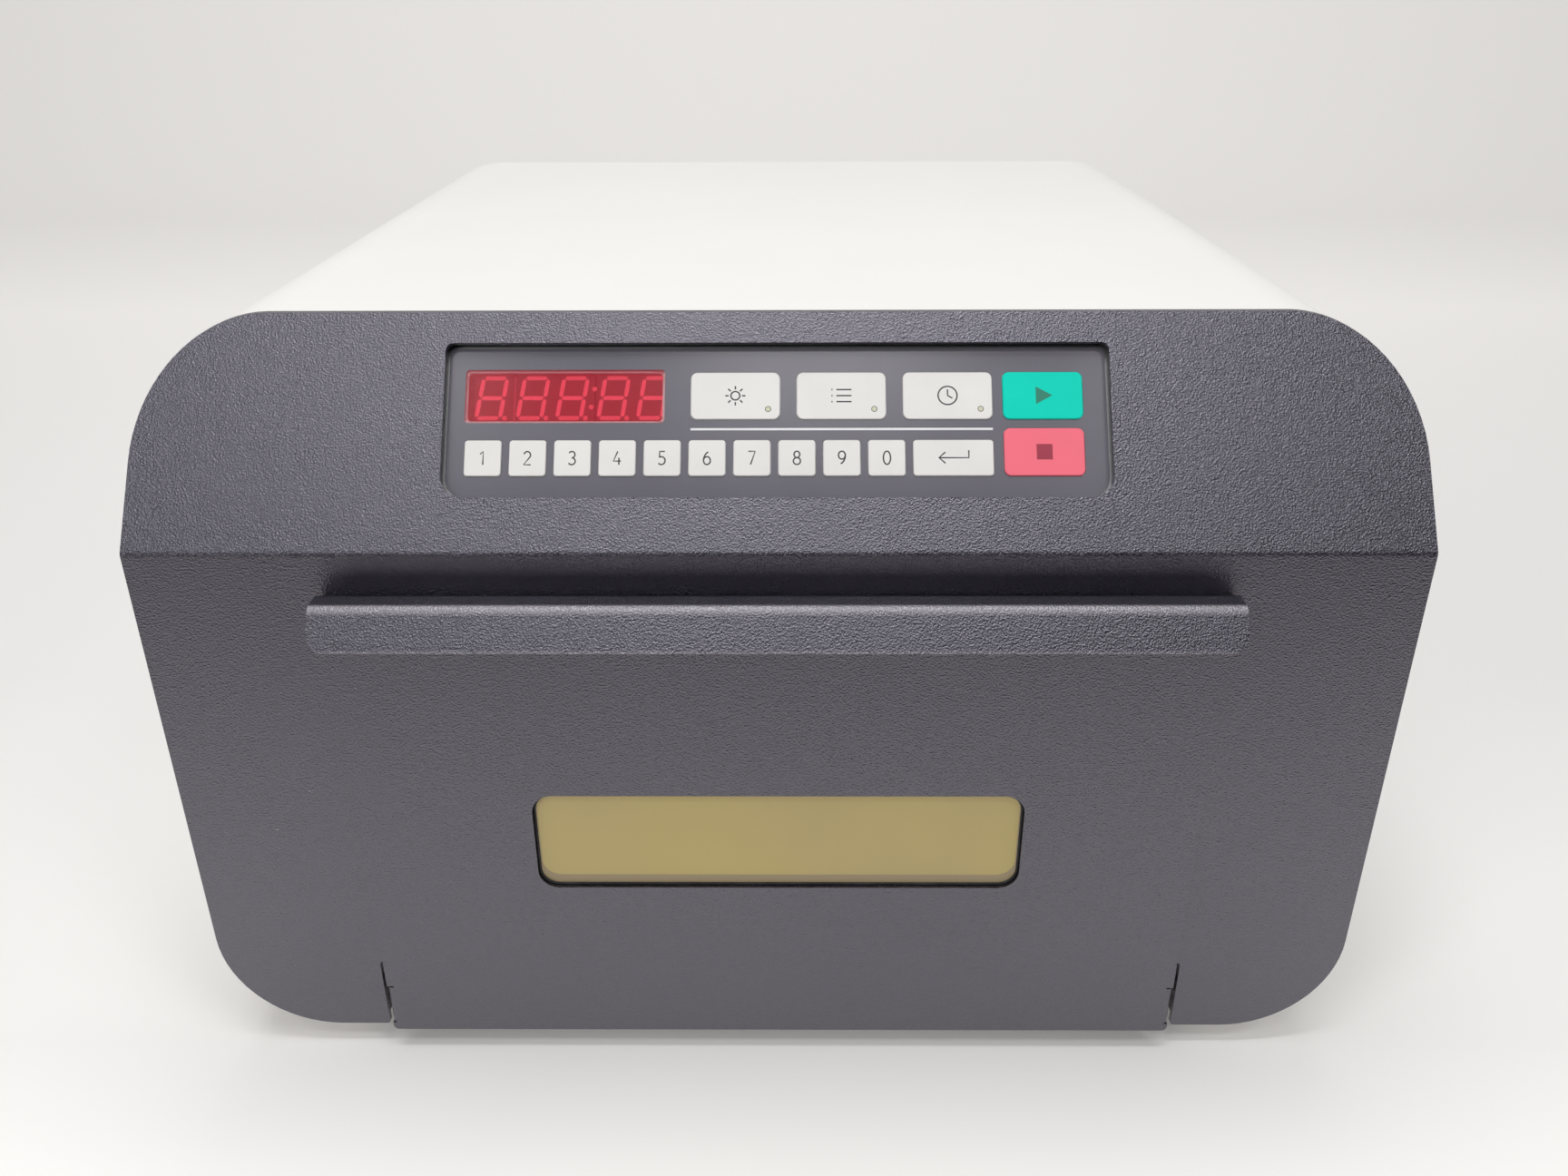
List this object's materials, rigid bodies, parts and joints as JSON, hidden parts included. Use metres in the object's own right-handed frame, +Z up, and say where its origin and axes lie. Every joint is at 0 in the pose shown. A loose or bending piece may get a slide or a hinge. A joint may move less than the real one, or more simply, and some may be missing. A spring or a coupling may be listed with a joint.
{
  "type": "uv crosslinker",
  "caption": "Bench-top ultraviolet irradiation cabinet with a sloping keypad panel, a drop-down door with an amber window, and ceiling tubes over a bright chamber",
  "frame": {"origin": "on the bench, under the middle of the bounding box", "axes": "+X to the right of someone facing the door, +Y from the door to the back, +Z up"},
  "size_m": [0.406, 0.4354, 0.266],
  "materials": {
    "white_coat": "smooth warm white powder coat",
    "dark_coat": "coarse-grained dark grey powder coat",
    "bright_sheet": "bright anodised reflector sheet",
    "zinc_sheet": "zinc-plated sheet steel",
    "turned_steel": "bright turned steel",
    "black_steel": "black-passivated sheet steel",
    "nickel": "nickel plated",
    "rubber_black": "moulded black rubber",
    "amber_acrylic": "clear amber acrylic",
    "black_plastic": "moulded black plastic",
    "rocker_plastic": "polished black plastic",
    "white_plastic": "moulded white plastic",
    "tube_glass": "clear tube glass",
    "cap_aluminium": "spun aluminium",
    "grey_enamel": "grey enamel",
    "overlay_grey": "printed grey polyester film",
    "key_white": "printed white polyester film",
    "key_green": "printed green polyester film",
    "key_red": "printed red polyester film",
    "display_red": "clear red acrylic",
    "digit_face": "dark red moulded digit face",
    "board_green": "green circuit laminate",
    "brass": "plain brass"
  },
  "bodies": {
    "cabinet": {"front_bezel": "dark_coat", "outer_cover": "white_coat", "rear_panel": "white_coat", "rear_screws": "nickel", "base_plate": "zinc_sheet", "feet": "rubber_black", "chamber_liner": "bright_sheet", "lamp_reflector": "bright_sheet", "lamp_tube_1": "tube_glass", "lamp_tube_2": "tube_glass", "lamp_tube_3": "tube_glass", "lamp_tube_4": "tube_glass", "lamp_tube_5": "tube_glass", "lamp_caps": "cap_aluminium", "lamp_sockets": "white_plastic", "uv_sensor": "cap_aluminium", "ballasts": "grey_enamel", "power_supply": "zinc_sheet", "hinge_bracket_left": "black_steel", "hinge_bracket_right": "black_steel", "hinge_pins": "turned_steel", "catch_magnets": "nickel", "interlock_sensor": "black_plastic", "keypad_plate": "cap_aluminium", "keypad_spacers": "turned_steel", "membrane_overlay": "overlay_grey", "display_window": "display_red", "digit_single": "digit_face", "digit_pair_left": "digit_face", "digit_pair_right": "digit_face", "control_board": "board_green", "board_standoffs": "brass", "power_inlet": "black_plastic", "inlet_blades": "brass", "fuse_drawer": "black_plastic", "switch_frame": "black_plastic"},
    "door": {"door_panel": "dark_coat", "window_pane": "amber_acrylic", "window_retainer": "black_plastic", "door_liner": "bright_sheet", "strike_plates": "turned_steel", "door_bumpers": "rubber_black"},
    "rocker": {"power_rocker": "rocker_plastic"},
    "key_1": {"key_1": "key_white"},
    "key_2": {"key_2": "key_white"},
    "key_3": {"key_3": "key_white"},
    "key_4": {"key_4": "key_white"},
    "key_5": {"key_5": "key_white"},
    "key_6": {"key_6": "key_white"},
    "key_7": {"key_7": "key_white"},
    "key_8": {"key_8": "key_white"},
    "key_9": {"key_9": "key_white"},
    "key_0": {"key_0": "key_white"},
    "key_enter": {"key_enter": "key_white"},
    "key_energy": {"key_energy": "key_white"},
    "key_preset": {"key_preset": "key_white"},
    "key_time": {"key_time": "key_white"},
    "key_start": {"key_start": "key_green"},
    "key_stop": {"key_stop": "key_red"}
  },
  "joints": [
    {"name": "door_hinge", "type": "hinge", "parent": "cabinet", "child": "door", "pos_m": [0, -0.18984, 0.022], "axis": [1, 0, 0], "range_deg": [0, 85]},
    {"name": "rocker_pivot", "type": "hinge", "parent": "cabinet", "child": "rocker", "pos_m": [0.084, 0.21016, 0.052], "axis": [1, 0, 0], "range_deg": [0, 22]},
    {"name": "key_1_travel", "type": "slide", "parent": "cabinet", "child": "key_1", "axis": [0, 0.8141, -0.5807], "range_m": [0, 0.0004], "stiffness_N_per_m": 2000},
    {"name": "key_2_travel", "type": "slide", "parent": "cabinet", "child": "key_2", "axis": [0, 0.8141, -0.5807], "range_m": [0, 0.0004], "stiffness_N_per_m": 2000},
    {"name": "key_3_travel", "type": "slide", "parent": "cabinet", "child": "key_3", "axis": [0, 0.8141, -0.5807], "range_m": [0, 0.0004], "stiffness_N_per_m": 2000},
    {"name": "key_4_travel", "type": "slide", "parent": "cabinet", "child": "key_4", "axis": [0, 0.8141, -0.5807], "range_m": [0, 0.0004], "stiffness_N_per_m": 2000},
    {"name": "key_5_travel", "type": "slide", "parent": "cabinet", "child": "key_5", "axis": [0, 0.8141, -0.5807], "range_m": [0, 0.0004], "stiffness_N_per_m": 2000},
    {"name": "key_6_travel", "type": "slide", "parent": "cabinet", "child": "key_6", "axis": [0, 0.8141, -0.5807], "range_m": [0, 0.0004], "stiffness_N_per_m": 2000},
    {"name": "key_7_travel", "type": "slide", "parent": "cabinet", "child": "key_7", "axis": [0, 0.8141, -0.5807], "range_m": [0, 0.0004], "stiffness_N_per_m": 2000},
    {"name": "key_8_travel", "type": "slide", "parent": "cabinet", "child": "key_8", "axis": [0, 0.8141, -0.5807], "range_m": [0, 0.0004], "stiffness_N_per_m": 2000},
    {"name": "key_9_travel", "type": "slide", "parent": "cabinet", "child": "key_9", "axis": [0, 0.8141, -0.5807], "range_m": [0, 0.0004], "stiffness_N_per_m": 2000},
    {"name": "key_0_travel", "type": "slide", "parent": "cabinet", "child": "key_0", "axis": [0, 0.8141, -0.5807], "range_m": [0, 0.0004], "stiffness_N_per_m": 2000},
    {"name": "key_enter_travel", "type": "slide", "parent": "cabinet", "child": "key_enter", "axis": [0, 0.8141, -0.5807], "range_m": [0, 0.0004], "stiffness_N_per_m": 2000},
    {"name": "key_energy_travel", "type": "slide", "parent": "cabinet", "child": "key_energy", "axis": [0, 0.8141, -0.5807], "range_m": [0, 0.0004], "stiffness_N_per_m": 2000},
    {"name": "key_preset_travel", "type": "slide", "parent": "cabinet", "child": "key_preset", "axis": [0, 0.8141, -0.5807], "range_m": [0, 0.0004], "stiffness_N_per_m": 2000},
    {"name": "key_time_travel", "type": "slide", "parent": "cabinet", "child": "key_time", "axis": [0, 0.8141, -0.5807], "range_m": [0, 0.0004], "stiffness_N_per_m": 2000},
    {"name": "key_start_travel", "type": "slide", "parent": "cabinet", "child": "key_start", "axis": [0, 0.8141, -0.5807], "range_m": [0, 0.0004], "stiffness_N_per_m": 2000},
    {"name": "key_stop_travel", "type": "slide", "parent": "cabinet", "child": "key_stop", "axis": [0, 0.8141, -0.5807], "range_m": [0, 0.0004], "stiffness_N_per_m": 2000}
  ]
}
